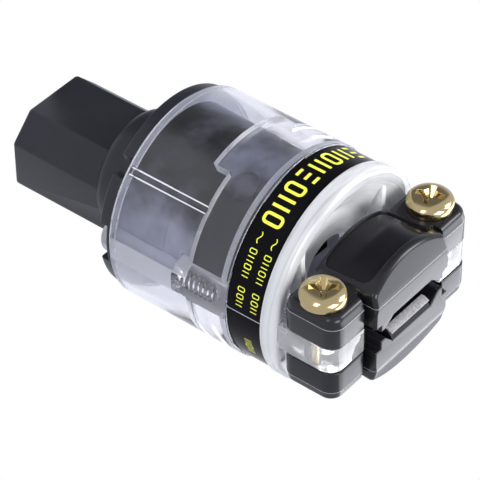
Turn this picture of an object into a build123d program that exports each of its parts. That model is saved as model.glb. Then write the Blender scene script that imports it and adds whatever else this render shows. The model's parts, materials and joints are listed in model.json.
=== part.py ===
from build123d import *
import os
from math import cos, radians, sin, tan

os.makedirs("parts", exist_ok=True)

# A rewirable C13 connector with a clear housing, in millimetres. The origin is the middle of the
# nose's end face, +Z runs to the cable end, +X joins the two clamp screws, and -Y is the side of
# their heads, of the earth contact and of the nose's two chamfers.

# Nose, boss and flange of the front moulding
nose_width = 24.0
nose_height = 15.5
nose_length = 29.7
nose_chamfer = 5.2
nose_corner = 1.0
nose_edge_chamfer = 0.4
boss_radius = 12.6
boss_length = 9.4
boss_slope = 2.8
boss_slope_break = 0.8
flange_inset = 0.85
flange_thickness = 2.6
flange_chamfer = 0.4
key_angle = 315
key_notch_radius = 2.05
key_rib_radius = 0.9

# Core behind the flange, parted into the front moulding and the terminal cover
core_play = 0.15
screw_lobe_radius = 2.6
parting_from_flange = 10.8

# Contacts, for flat pins that stand along Y
pin_thickness = 2.0
pin_height = 4.0
contact_pitch = 7.0
contact_offset = 2.0
contact_sheet = 0.6
contact_grip_length = 16.0
contact_seam = 0.5
slot_wall = 1.6
slot_play = 0.6
spring_play = 0.1
cavity_play = 0.15

# Terminals: a pad on the contact's tail, a clamp plate and a screw with its access hole
pad_width = 5.4
pad_thickness = 2.0
pad_from_parting = 3.0
pad_from_core_end = 1.9
terminal_from_core_end = 5.9
terminal_chamber_play = 0.3
terminal_room = 7.0
clamp_plate_thickness = 1.0
clamp_plate_side = 5.0
terminal_screw_radius = 1.5
terminal_screw_tip = 0.15
terminal_head_radius = 2.4
terminal_head_height = 1.8
access_play = 0.3
driver_slot_width = 0.7
driver_slot_depth = 0.8

# Clear housing
housing_radius = 21.85
housing_wall = 1.45
housing_rear_wall = 4.05
housing_length = 39.9
wiring_room = 5.4
housing_front_chamfer = 0.7
housing_rear_chamfer = 0.8
band_from_rim = 3.3
band_width = 7.9
groove_depth = 1.4
rim_width = 2.5
dish_depth = 4.4
dish_slope_width = 6.9
cable_hole_radius = 6.5
dish_wall = 2.4
screw_boss_radius = 3.9
screw_boss_inset = 3.4
screw_boss_from_front = 15.2
boss_channel_play = 0.2
rear_wall_length = 14.4
index_tab_length = 3.8
index_tab_start = 237
index_tab_end = 292
ear_thickness = 5.8
ear_width = 9.2
ear_inset = 1.15
ear_height = 12.8
ear_corner = 3.0
web_thickness = 1.2
web_below_rim = 0.8

# Printed band round the housing
band_thickness = 1.0
band_gap_width = 0.6
band_gap_angle = -4

# Assembly screws, from the flange into the housing's bosses
assembly_screw_radius = 1.5
assembly_screw_length = 18.0
assembly_head_radius = 4.0
assembly_head_height = 2.4
assembly_head_chamfer = 0.6
head_pocket_depth = 2.0
head_pocket_play = 0.35
screw_hole_play = 0.15
thread_play = 0.05

# Cable clamp: two jaws that close on the ears
jaw_rim_gap = 0.8
jaw_play = 0.05
lobe_length = 12.2
lobe_height = 10.0
lobe_front_corner = 2.5
lobe_rear_corner = 3.0
lobe_chamfer = 0.8
arch_ear_gap = 0.6
arch_length = 14.2
arch_height = 13.8
arch_front_drop = 1.0
arch_shoulder_drop = 3.3
arch_shoulder_round = 1.6
crease_height = 7.7
jaw_draft = 15.0
jaw_groove_width = 1.2
jaw_groove_depth = 2.6
channel_depth = 3.2
lip_inset = 1.5
lip_width = 1.4
lip_slope_width = 2.2
head_lip_height = 1.4
nut_lip_height = 1.0
grip_rib_count = 3
grip_rib_pitch = 4.4
grip_rib_height = 1.3
grip_rib_top = 0.7
grip_rib_slant = 1.4
panel_depth = 0.4
panel_margin = 1.3
panel_rear_margin = 3.1
panel_front_margin = 0.6
panel_corner = 1.6

# Clamp screws and nuts
clamp_screw_inset = 4.64
clamp_screw_from_jaw_front = 6.0
clamp_screw_radius = 2.0
clamp_screw_length = 23.0
clamp_head_radius = 4.6
clamp_head_height = 2.9
clamp_head_chamfer = 1.0
clamp_hole_play = 0.25
cross_length = 5.2
cross_width = 1.1
cross_depth = 1.7
cross_taper = 12.0
nut_across_flats = 7.0
nut_height = 3.2
nut_play = 0.1
nut_thread_play = 0.05

# Heights over the nose's end face
z_boss = nose_length - boss_length
z_flange = nose_length
z_shell = z_flange + flange_thickness
z_parting = z_shell + parting_from_flange
z_rim = z_shell + housing_length
z_dish = z_rim - dish_depth
z_inside = z_dish - dish_wall
z_core_end = z_inside - wiring_room
z_step = z_inside - rear_wall_length
z_terminal = z_core_end - terminal_from_core_end
z_band = z_rim - band_from_rim - band_width
z_jaw = z_rim + jaw_rim_gap
z_lobe_end = z_jaw + lobe_length
z_jaw_end = z_jaw + arch_length
z_clamp_screw = z_jaw + clamp_screw_from_jaw_front

# Contact section and where each pole stands: middle in X and the side of its tail
grip_width = pin_thickness + 2 * spring_play
grip_height = pin_height + 2 * spring_play
contact_width = grip_width + 2 * contact_sheet
contact_height = grip_height + 2 * contact_sheet
tail_face = contact_offset + grip_height / 2
poles = {"line": (contact_pitch, 1), "neutral": (-contact_pitch, 1), "earth": (0, -1)}
chamber_width = pad_width + 2 * terminal_chamber_play
chamber_top = tail_face + pad_thickness + terminal_chamber_play
chamber_floor = chamber_top - pad_thickness - terminal_room

# Radii of the housing and what fits in it, and the clamp's widths over its ears
housing_bore = housing_radius - housing_wall
housing_rear_bore = housing_radius - housing_rear_wall
flange_radius = housing_radius - flange_inset
core_radius = housing_rear_bore - core_play
screw_circle = housing_bore - screw_boss_inset
dish_edge = housing_radius - rim_width
dish_floor_radius = dish_edge - dish_slope_width
band_bore = housing_radius - groove_depth
ear_outer = housing_radius - ear_inset
ear_inner = ear_outer - ear_width
ear_half = ear_thickness / 2
jaw_seat = ear_half + jaw_play
lobe_half_width = ear_outer
arch_half_width = ear_inner - arch_ear_gap
lip_outer = arch_half_width - lip_inset
lip_inner = lip_outer - lip_width
channel_half_width = lip_inner - lip_slope_width
clamp_screw_x = ear_outer - clamp_screw_inset
screw_spots = [(-screw_circle, 0), (screw_circle, 0)]
clamp_spots = {"left": -clamp_screw_x, "right": clamp_screw_x}


def finish(builder, name):
    builder.part.label = name
    export_step(builder.part, f"parts/{name}.step")


def level(side, height):
    """Plane across the clamp at a height from its middle, seen from outside, with +Z upwards."""
    return Plane(origin=(0, side * height, 0), x_dir=(-side, 0, 0), z_dir=(0, side, 0))


def polar(radius, angle):
    return (radius * cos(radians(angle)), radius * sin(radians(angle)))


def lobe_outline():
    """Both lobes of a jaw in one rounded outline."""
    with Locations((0, (z_jaw + z_lobe_end) / 2)):
        Rectangle(2 * lobe_half_width, lobe_length)
    fillet(vertices().group_by(Axis.Y)[0], lobe_front_corner)
    fillet(vertices().group_by(Axis.Y)[-1], lobe_rear_corner)


def arch_outline(side, apex):
    """Cross-section of a jaw's arched middle."""
    shoulder = side * (apex - arch_shoulder_drop)
    with BuildLine() as outline:
        Polyline((-arch_half_width, shoulder), (-arch_half_width, side * jaw_seat),
                 (arch_half_width, side * jaw_seat), (arch_half_width, shoulder))
        ThreePointArc((-arch_half_width, shoulder), (0, side * apex), (arch_half_width, shoulder))
    make_face(outline.edges())
    fillet(vertices().group_by(Axis.Y)[-1 if side > 0 else 0], arch_shoulder_round)


# Front moulding: nose, boss, flange and the front half of the core
with BuildPart() as connector_body:
    with BuildSketch():
        half_width, half_height = nose_width / 2, nose_height / 2
        with BuildLine():
            Polyline((-half_width, half_height), (half_width, half_height),
                     (half_width, nose_chamfer - half_height),
                     (half_width - nose_chamfer, -half_height),
                     (nose_chamfer - half_width, -half_height),
                     (-half_width, nose_chamfer - half_height), close=True)
        make_face()
        fillet(vertices(), nose_corner)
    extrude(amount=z_flange)
    chamfer(faces().sort_by(Axis.Z)[0].edges(), nose_edge_chamfer)
    with BuildSketch(Plane.XZ):
        with BuildLine():
            Polyline((0, z_boss), (boss_radius - boss_slope, z_boss),
                     (boss_radius - boss_slope_break, z_boss + boss_slope_break),
                     (boss_radius, z_boss + boss_slope), (boss_radius, z_flange),
                     (flange_radius - flange_chamfer, z_flange), (flange_radius, z_flange + flange_chamfer),
                     (flange_radius, z_shell), (core_radius, z_shell), (core_radius, z_parting),
                     (0, z_parting), (0, z_boss))
        make_face()
    revolve(axis=Axis.Z)
    with BuildSketch(Plane.XY.offset(z_shell)):
        with Locations(*screw_spots):
            Circle(screw_lobe_radius)
    extrude(amount=parting_from_flange)
    # Open pockets for the two screw heads, and the holes behind them
    z_pocket = z_flange + head_pocket_depth - assembly_head_height - head_pocket_play
    with BuildSketch(Plane.XY.offset(z_pocket)):
        pocket_radius = assembly_head_radius + head_pocket_play
        with Locations(*screw_spots):
            Circle(pocket_radius)
        with Locations((-flange_radius, 0), (flange_radius, 0)):
            Rectangle(2 * (flange_radius - screw_circle), 2 * pocket_radius)
    extrude(amount=z_flange + head_pocket_depth - z_pocket, mode=Mode.SUBTRACT)
    with BuildSketch(Plane.XY.offset(z_flange)):
        with Locations(*screw_spots):
            Circle(assembly_screw_radius + screw_hole_play)
    extrude(amount=z_parting - z_flange, mode=Mode.SUBTRACT)
    # Notch in the flange for the housing's key rib
    with BuildSketch(Plane.XY.offset(z_flange)):
        with Locations(polar(flange_radius, key_angle)):
            Circle(key_notch_radius)
    extrude(amount=flange_thickness, mode=Mode.SUBTRACT)
    # Slots in the end face, and the wider cavities that the contacts go into from behind
    with BuildSketch():
        for x, side in poles.values():
            with Locations((x, side * contact_offset)):
                Rectangle(pin_thickness + slot_play, pin_height + slot_play)
    extrude(amount=slot_wall, mode=Mode.SUBTRACT)
    with BuildSketch(Plane.XY.offset(slot_wall)):
        for x, side in poles.values():
            with Locations((x, side * contact_offset)):
                Rectangle(contact_width + 2 * cavity_play, contact_height + 2 * cavity_play)
    extrude(amount=z_parting - slot_wall, mode=Mode.SUBTRACT)
finish(connector_body, "connector_body")

# Terminal cover: the rear half of the core, with a chamber for each terminal
with BuildPart() as terminal_cover:
    channel_start = z_shell + screw_boss_from_front - boss_channel_play
    with BuildSketch(Plane.XY.offset(z_parting)):
        Circle(core_radius)
    extrude(amount=z_core_end - z_parting)
    with BuildSketch(Plane.XY.offset(z_parting)):
        with Locations(*screw_spots):
            Circle(screw_lobe_radius)
    extrude(amount=channel_start - z_parting)
    for x, side in poles.values():
        with BuildSketch(Plane.XY.offset(z_parting)):
            with Locations((x, side * (chamber_floor + chamber_top) / 2)):
                Rectangle(chamber_width, chamber_top - chamber_floor)
        extrude(amount=z_core_end - z_parting, mode=Mode.SUBTRACT)
        with BuildSketch(level(-side, -chamber_floor)):
            with Locations((side * x, z_terminal)):
                Circle(terminal_head_radius + access_play)
        extrude(amount=core_radius, mode=Mode.SUBTRACT)
    # Channels that clear the housing's screw bosses, and the holes through the lobes in front of them
    with BuildSketch(Plane.XY.offset(channel_start)):
        with Locations(*screw_spots):
            Circle(screw_boss_radius + boss_channel_play)
    extrude(amount=z_core_end - channel_start, mode=Mode.SUBTRACT)
    with BuildSketch(Plane.XY.offset(z_parting)):
        with Locations(*screw_spots):
            Circle(assembly_screw_radius + screw_hole_play)
    extrude(amount=channel_start - z_parting, mode=Mode.SUBTRACT)
finish(terminal_cover, "terminal_cover")

# Contacts: a folded grip with an open seam, a tail, and the threaded pad of the terminal
z_grip = slot_wall + cavity_play
z_pad = z_parting + pad_from_parting
for pole, (x, side) in poles.items():
    with BuildPart() as contact:
        with BuildSketch(Plane.XY.offset(z_grip)):
            with Locations((x, side * contact_offset)):
                Rectangle(contact_width, contact_height)
                Rectangle(grip_width, grip_height, mode=Mode.SUBTRACT)
            with Locations((x, side * (contact_offset - (grip_height + contact_sheet) / 2))):
                Rectangle(contact_seam, contact_sheet, mode=Mode.SUBTRACT)
        extrude(amount=contact_grip_length)
        with BuildSketch(Plane.XY.offset(z_grip + contact_grip_length)):
            with Locations((x, side * (tail_face + contact_sheet / 2))):
                Rectangle(contact_width, contact_sheet)
        extrude(amount=z_pad - z_grip - contact_grip_length)
        with BuildSketch(Plane.XY.offset(z_pad)):
            with Locations((x, side * (tail_face + pad_thickness / 2))):
                Rectangle(pad_width, pad_thickness)
        extrude(amount=z_core_end - pad_from_core_end - z_pad)
        with BuildSketch(level(side, tail_face)):
            with Locations((-side * x, z_terminal)):
                Circle(terminal_screw_radius + thread_play)
        extrude(amount=pad_thickness, mode=Mode.SUBTRACT)
    finish(contact, f"{pole}_contact")

    with BuildPart() as clamp_plate:
        with BuildSketch(level(-side, -tail_face)):
            with Locations((side * x, z_terminal)):
                Rectangle(clamp_plate_side, clamp_plate_side)
                Circle(terminal_screw_radius + screw_hole_play, mode=Mode.SUBTRACT)
        extrude(amount=clamp_plate_thickness)
    finish(clamp_plate, f"{pole}_clamp_plate")

    with BuildPart() as terminal_screw:
        head_seat = clamp_plate_thickness - tail_face
        with BuildSketch(level(-side, head_seat)):
            with Locations((side * x, z_terminal)):
                Circle(terminal_head_radius)
        extrude(amount=terminal_head_height)
        with BuildSketch(level(-side, head_seat + terminal_head_height)):
            with Locations((side * x, z_terminal)):
                Rectangle(2 * terminal_head_radius, driver_slot_width)
        extrude(amount=-driver_slot_depth, mode=Mode.SUBTRACT)
        with BuildSketch(level(-side, head_seat)):
            with Locations((side * x, z_terminal)):
                Circle(terminal_screw_radius)
        extrude(amount=-clamp_plate_thickness - pad_thickness - terminal_screw_tip)
    finish(terminal_screw, f"{pole}_terminal_screw")

# Clear housing: a stepped shell with a dished rear wall, screw bosses, ears and webs
with BuildPart() as clear_housing:
    with BuildSketch(Plane.XZ):
        with BuildLine():
            Polyline((housing_bore, z_shell), (housing_radius - housing_front_chamfer, z_shell),
                     (housing_radius, z_shell + housing_front_chamfer),
                     (housing_radius, z_rim - housing_rear_chamfer),
                     (housing_radius - housing_rear_chamfer, z_rim),
                     (dish_edge, z_rim), (dish_floor_radius, z_dish), (cable_hole_radius, z_dish),
                     (cable_hole_radius, z_inside), (dish_floor_radius, z_inside),
                     (housing_rear_bore, z_inside - dish_wall), (housing_rear_bore, z_step),
                     (housing_bore, z_step), (housing_bore, z_shell))
        make_face()
    revolve(axis=Axis.Z)
    # Screw bosses stand forward from the rear wall and join the shell
    z_screw_boss = z_shell + screw_boss_from_front
    with BuildSketch(Plane.XY.offset(z_screw_boss)):
        with Locations(*screw_spots):
            Circle(screw_boss_radius)
    extrude(amount=z_inside - z_screw_boss)
    # Index tab, where the thick rear wall reaches further forward
    tab_middle = (index_tab_start + index_tab_end) / 2
    tab_root = (housing_bore + housing_radius) / 2
    with BuildSketch(Plane.XY.offset(z_step - index_tab_length)):
        with BuildLine():
            for radius in (housing_rear_bore, tab_root):
                ThreePointArc(polar(radius, index_tab_start), polar(radius, tab_middle),
                              polar(radius, index_tab_end))
            for angle in (index_tab_start, index_tab_end):
                Line(polar(housing_rear_bore, angle), polar(tab_root, angle))
        make_face()
    extrude(amount=index_tab_length)
    # Key rib along the bore
    z_rib_start = z_shell + housing_front_chamfer
    with BuildSketch(Plane.XY.offset(z_rib_start)):
        with Locations(polar(housing_bore, key_angle)):
            Circle(key_rib_radius)
        Circle(housing_bore + key_rib_radius, mode=Mode.INTERSECT)
    extrude(amount=z_step - z_rib_start)
    # Ears that carry the clamp, and the webs that brace them across the dish
    for side in (-1, 1):
        with BuildSketch(Plane.XZ):
            with Locations((side * (ear_inner + ear_outer) / 2, (z_dish + z_rim + ear_height) / 2)):
                Rectangle(ear_outer - ear_inner, z_rim + ear_height - z_dish)
            fillet(vertices().group_by(Axis.Y)[-1].sort_by(Axis.X)[-1 if side > 0 else 0], ear_corner)
        extrude(amount=ear_half, both=True)
    with BuildSketch(Plane.XY.offset(z_dish - dish_wall / 2)):
        with Locations((-ear_inner - web_thickness / 2, 0), (ear_inner + web_thickness / 2, 0)):
            Rectangle(web_thickness, 2 * housing_radius)
        Circle(dish_edge + rim_width / 2, mode=Mode.INTERSECT)
    extrude(amount=dish_depth + dish_wall / 2 - web_below_rim)
    # Groove for the band, thread holes of the bosses and cross holes of the ears
    with BuildSketch(Plane.XY.offset(z_band)):
        Circle(2 * housing_radius)
        Circle(band_bore, mode=Mode.SUBTRACT)
    extrude(amount=band_width, mode=Mode.SUBTRACT)
    with BuildSketch(Plane.XY.offset(z_screw_boss)):
        with Locations(*screw_spots):
            Circle(assembly_screw_radius + thread_play)
    extrude(amount=z_flange + head_pocket_depth + assembly_screw_length - z_screw_boss + dish_wall,
            mode=Mode.SUBTRACT)
    with BuildSketch(Plane.XZ):
        with Locations(*[(x, z_clamp_screw) for x in clamp_spots.values()]):
            Circle(clamp_screw_radius + clamp_hole_play)
    extrude(amount=ear_half, both=True, mode=Mode.SUBTRACT)
finish(clear_housing, "clear_housing")

# Band in its groove, a strip whose ends almost meet
with BuildPart() as label_band:
    with BuildSketch(Plane.XY.offset(z_band)):
        Circle(band_bore + band_thickness)
        Circle(band_bore, mode=Mode.SUBTRACT)
        with Locations(Location(polar(band_bore + band_thickness / 2, band_gap_angle) + (0,),
                                (0, 0, band_gap_angle))):
            Rectangle(2 * band_thickness, band_gap_width, mode=Mode.SUBTRACT)
    extrude(amount=band_width)
finish(label_band, "label_band")

# Assembly screws in the flange's pockets
z_head_seat = z_flange + head_pocket_depth
for name, (x, y) in zip(("left", "right"), screw_spots):
    with BuildPart() as assembly_screw:
        with BuildSketch(Plane.XY.offset(z_head_seat - assembly_head_height)):
            with Locations((x, y)):
                Circle(assembly_head_radius)
        extrude(amount=assembly_head_height)
        chamfer(edges().group_by(Axis.Z)[0], assembly_head_chamfer)
        with BuildSketch(Plane.XY.offset(z_head_seat - assembly_head_height)):
            with Locations((x, y)):
                Rectangle(assembly_head_radius, driver_slot_width)
                Rectangle(driver_slot_width, assembly_head_radius)
        extrude(amount=driver_slot_depth, mode=Mode.SUBTRACT)
        with BuildSketch(Plane.XY.offset(z_head_seat)):
            with Locations((x, y)):
                Circle(assembly_screw_radius)
        extrude(amount=assembly_screw_length)
    finish(assembly_screw, f"{name}_assembly_screw")

# Clamp jaws: one lobe over each ear and an arched middle with the cable channel under it
jaws = {"head_side_jaw": -1, "nut_side_jaw": 1}
for name, side in jaws.items():
    with BuildPart() as sunken_arch:
        with BuildSketch(Plane.XY.offset(z_jaw)):
            arch_outline(side, arch_height - arch_front_drop - panel_depth)
        with BuildSketch(Plane.XY.offset(z_jaw_end)):
            arch_outline(side, arch_height - panel_depth)
        loft()

    with BuildPart() as panel:
        panel_length = arch_length - panel_rear_margin - panel_front_margin
        with BuildSketch(level(side, crease_height)):
            with Locations((0, z_jaw + panel_front_margin + panel_length / 2)):
                Rectangle(2 * (arch_half_width - panel_margin), panel_length)
            chamfer(vertices(), panel_corner)
        extrude(amount=arch_height - crease_height)
        add(sunken_arch.part, mode=Mode.SUBTRACT)

    with BuildPart() as jaw:
        # Lobes, straight up to the crease and drafted beyond it
        with BuildSketch(level(side, crease_height)):
            lobe_outline()
        extrude(amount=lobe_height - crease_height, taper=jaw_draft)
        chamfer(faces().sort_by(Axis.Y)[-1 if side > 0 else 0].edges(), lobe_chamfer)
        with BuildSketch(level(side, jaw_seat)):
            lobe_outline()
        extrude(amount=crease_height - jaw_seat)
        # Arched middle, whose rear face leans back beyond the crease
        with BuildSketch(Plane.XY.offset(z_jaw)):
            arch_outline(side, arch_height - arch_front_drop)
        with BuildSketch(Plane.XY.offset(z_jaw_end)):
            arch_outline(side, arch_height)
        loft()
        lean = (2 * arch_height - crease_height) * tan(radians(jaw_draft))
        with BuildSketch(Plane.YZ):
            with BuildLine():
                Polyline((side * crease_height, z_jaw_end), (side * 2 * arch_height, z_jaw_end),
                         (side * 2 * arch_height, z_jaw_end - lean), close=True)
            make_face()
        extrude(amount=arch_half_width, both=True, mode=Mode.SUBTRACT)
        # Grooves between the middle and the lobes
        with BuildSketch(level(side, jaw_seat)):
            groove_x = arch_half_width + jaw_groove_width / 2
            with Locations((-groove_x, z_lobe_end), (groove_x, z_lobe_end)):
                Rectangle(jaw_groove_width, 2 * jaw_groove_depth)
        extrude(amount=arch_height, mode=Mode.SUBTRACT)
        # Cable channel between two lips
        lip_height = head_lip_height if side < 0 else nut_lip_height
        with BuildSketch(Plane.XY.offset(z_jaw)):
            with BuildLine():
                Polyline((lip_outer, side * jaw_seat), (lip_outer, side * lip_height),
                         (lip_inner, side * lip_height), (channel_half_width, side * channel_depth),
                         (lip_outer, side * channel_depth), close=True)
            make_face()
            mirror(about=Plane.YZ)
        extrude(amount=arch_length)
        with BuildSketch(Plane.XY.offset(z_jaw)):
            with Locations((0, side * (jaw_seat + channel_depth) / 2)):
                Rectangle(2 * channel_half_width, channel_depth - jaw_seat)
        extrude(amount=arch_length, mode=Mode.SUBTRACT)
        if side > 0:
            # Grip ribs across the channel
            for number in range(grip_rib_count):
                z_rib = z_jaw_end - number * grip_rib_pitch
                with BuildSketch(Plane.YZ):
                    with BuildLine():
                        Polyline((channel_depth, z_rib), (grip_rib_height, z_rib - grip_rib_slant),
                                 (grip_rib_height, z_rib - grip_rib_slant - grip_rib_top),
                                 (channel_depth, z_rib - 2 * grip_rib_slant - grip_rib_top), close=True)
                    make_face()
                extrude(amount=channel_half_width, both=True)
        else:
            add(panel.part, mode=Mode.SUBTRACT)
        # Screw holes, and pockets that hold the nuts
        with BuildSketch(level(side, jaw_seat)):
            with Locations(*[(x, z_clamp_screw) for x in clamp_spots.values()]):
                Circle(clamp_screw_radius + clamp_hole_play)
        extrude(amount=arch_height, mode=Mode.SUBTRACT)
        if side > 0:
            with BuildSketch(level(side, lobe_height - nut_height - nut_play)):
                with Locations(*[(x, z_clamp_screw) for x in clamp_spots.values()]):
                    RegularPolygon(nut_across_flats / 2 + nut_play, 6, major_radius=False)
            extrude(amount=arch_height, mode=Mode.SUBTRACT)
    finish(jaw, name)

# Clamp screws with their nuts
for name, x in clamp_spots.items():
    with BuildPart() as clamp_screw:
        with BuildSketch(level(-1, lobe_height)):
            with Locations((x, z_clamp_screw)):
                Circle(clamp_head_radius)
        extrude(amount=clamp_head_height)
        chamfer(edges().group_by(Axis.Y)[0], clamp_head_chamfer)
        with BuildSketch(level(-1, lobe_height + clamp_head_height)):
            with Locations((x, z_clamp_screw)):
                Rectangle(cross_length, cross_width)
                Rectangle(cross_width, cross_length)
        extrude(amount=-cross_depth, taper=cross_taper, mode=Mode.SUBTRACT)
        with BuildSketch(level(1, -lobe_height)):
            with Locations((-x, z_clamp_screw)):
                Circle(clamp_screw_radius)
        extrude(amount=clamp_screw_length)
    finish(clamp_screw, f"{name}_clamp_screw")

    with BuildPart() as clamp_nut:
        with BuildSketch(level(1, lobe_height - nut_height - nut_play)):
            with Locations((-x, z_clamp_screw)):
                RegularPolygon(nut_across_flats / 2, 6, major_radius=False)
                Circle(clamp_screw_radius + nut_thread_play, mode=Mode.SUBTRACT)
        extrude(amount=nut_height)
    finish(clamp_nut, f"{name}_clamp_nut")
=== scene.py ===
import bpy
import bmesh
import json
import math
from mathutils import Matrix, Vector


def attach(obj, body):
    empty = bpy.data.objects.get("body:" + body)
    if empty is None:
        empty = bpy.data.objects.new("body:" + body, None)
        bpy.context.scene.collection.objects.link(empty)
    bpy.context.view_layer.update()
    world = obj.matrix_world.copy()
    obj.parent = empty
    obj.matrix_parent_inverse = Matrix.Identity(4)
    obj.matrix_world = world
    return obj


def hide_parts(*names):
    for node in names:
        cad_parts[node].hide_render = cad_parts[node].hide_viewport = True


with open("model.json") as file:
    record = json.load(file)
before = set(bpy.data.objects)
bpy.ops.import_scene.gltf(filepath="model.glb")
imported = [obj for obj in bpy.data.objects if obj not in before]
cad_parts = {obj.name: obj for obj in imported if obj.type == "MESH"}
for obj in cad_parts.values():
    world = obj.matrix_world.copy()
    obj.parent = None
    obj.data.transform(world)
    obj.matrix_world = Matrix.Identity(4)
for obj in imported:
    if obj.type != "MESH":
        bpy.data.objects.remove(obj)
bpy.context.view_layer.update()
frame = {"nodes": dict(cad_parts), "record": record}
nodes = frame["nodes"]
mm = 0.001
print("frame loaded:", len(nodes), "nodes")

# The photograph's view: the connector leans over in the picture, so the camera is rolled.
cameraSetup = {
    "eye": Vector((324.89, -366.64, 312.23)) * mm,
    "right": Vector((-0.632777, 0.014123, 0.774206)),
    "up": Vector((-0.513358, -0.756180, -0.405785)),
    "lens": 221.2,  # mm, on a 36 mm sensor
    "shiftX": 0.0586,
    "shiftY": -0.0722,
}


def makeCamera(setup):
    data = bpy.data.cameras.new("productCamera")
    camera = bpy.data.objects.new("productCamera", data)
    bpy.context.scene.collection.objects.link(camera)
    right = setup["right"].normalized()
    up = (setup["up"] - right * setup["up"].dot(right)).normalized()
    back = right.cross(up)
    turn = Matrix((right, up, back)).transposed().to_4x4()
    camera.matrix_world = Matrix.Translation(setup["eye"]) @ turn
    data.sensor_width = 36
    data.lens = setup["lens"]
    data.shift_x = setup["shiftX"]
    data.shift_y = setup["shiftY"]
    data.clip_start = 0.01
    data.clip_end = 20
    bpy.context.scene.camera = camera


makeCamera(cameraSetup)
bpy.context.scene.view_settings.view_transform = "Standard"
print("camera placed")


# Small helpers for shader nodes: a node's values go in by the name or number of the socket
def setValues(node, values):
    for socket, value in values.items():
        node.inputs[socket].default_value = value


def addNode(tree, kind, place=(0, 0), values=None, **settings):
    node = tree.nodes.new(kind)
    node.location = place
    for name, value in settings.items():
        setattr(node, name, value)
    setValues(node, values or {})
    return node


def addMath(tree, operation, place, values=None):
    return addNode(tree, "ShaderNodeMath", place, values, operation=operation)


def addVector(tree, operation, place, values=None):
    return addNode(tree, "ShaderNodeVectorMath", place, values, operation=operation)


# Each wire runs from a node's output to another node's input
def wire(tree, *wires):
    for source, output, target, socket in wires:
        tree.links.new(source.outputs[output], target.inputs[socket])


def newGroup(name, takes, gives):
    group = bpy.data.node_groups.new(name, "ShaderNodeTree")
    for way, sockets in (("INPUT", takes), ("OUTPUT", gives)):
        for socket in sockets:
            kind = "NodeSocketColor" if socket == "Color" else "NodeSocketFloat"
            group.interface.new_socket(socket, in_out=way, socket_type=kind)
    return group, addNode(group, "NodeGroupInput", (-1100, 0)), addNode(group, "NodeGroupOutput", (600, 0))


def newMaterial(name):
    material = bpy.data.materials.new(name)
    material.use_nodes = True
    shader = material.node_tree.nodes["Principled BSDF"]
    return material, material.node_tree, shader


def polar(radius, angle):
    return (radius * math.cos(math.radians(angle)), radius * math.sin(math.radians(angle)))


# Fine grain of a moulded or plated face: colour mottling, uneven roughness and a height for bump
def makeMouldGrain():
    takes = ("Color", "Mottle", "Mottle Size", "Roughness", "Unevenness", "Grain Size")
    group, start, end = newGroup("mouldGrain", takes, ("Color", "Roughness", "Height"))
    where = addNode(group, "ShaderNodeTexCoord", (-800, -300))
    cloud = addNode(group, "ShaderNodeTexNoise", (-500, 200), {"Detail": 5})
    grain = addNode(group, "ShaderNodeTexNoise", (-500, -250), {"Detail": 2})
    spread = addMath(group, "SUBTRACT", (-250, 200), {1: 0.5})
    tone = addMath(group, "MULTIPLY_ADD", (-50, 300), {2: 1})
    tint = addVector(group, "SCALE", (200, 300))
    rough = addMath(group, "MULTIPLY_ADD", (200, 0))
    wire(group,
         (where, "Object", cloud, "Vector"), (start, "Mottle Size", cloud, "Scale"),
         (where, "Object", grain, "Vector"), (start, "Grain Size", grain, "Scale"),
         (cloud, "Fac", spread, 0), (spread, 0, tone, 0), (start, "Mottle", tone, 1),
         (start, "Color", tint, 0), (tone, 0, tint, "Scale"), (tint, "Vector", end, "Color"),
         (spread, 0, rough, 0), (start, "Unevenness", rough, 1), (start, "Roughness", rough, 2),
         (rough, 0, end, "Roughness"), (grain, "Fac", end, "Height"))
    return group


mouldGrain = makeMouldGrain()

# Where painted shade darkens the core, and where a painted pale patch of light lies under the index tab.
# Angles are in degrees about the axis, tabAhead is in millimetres, and darkFrom and patchFrom are cosines
paintedCoreShade = {"darkSide": 285, "darkFrom": 0.55, "rippleSize": 130, "ripple": 0.6, "tabMiddle": 264.5,
         "tabHalf": 27.5, "tabAhead": 3.8, "patchFrom": 0.8}
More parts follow.
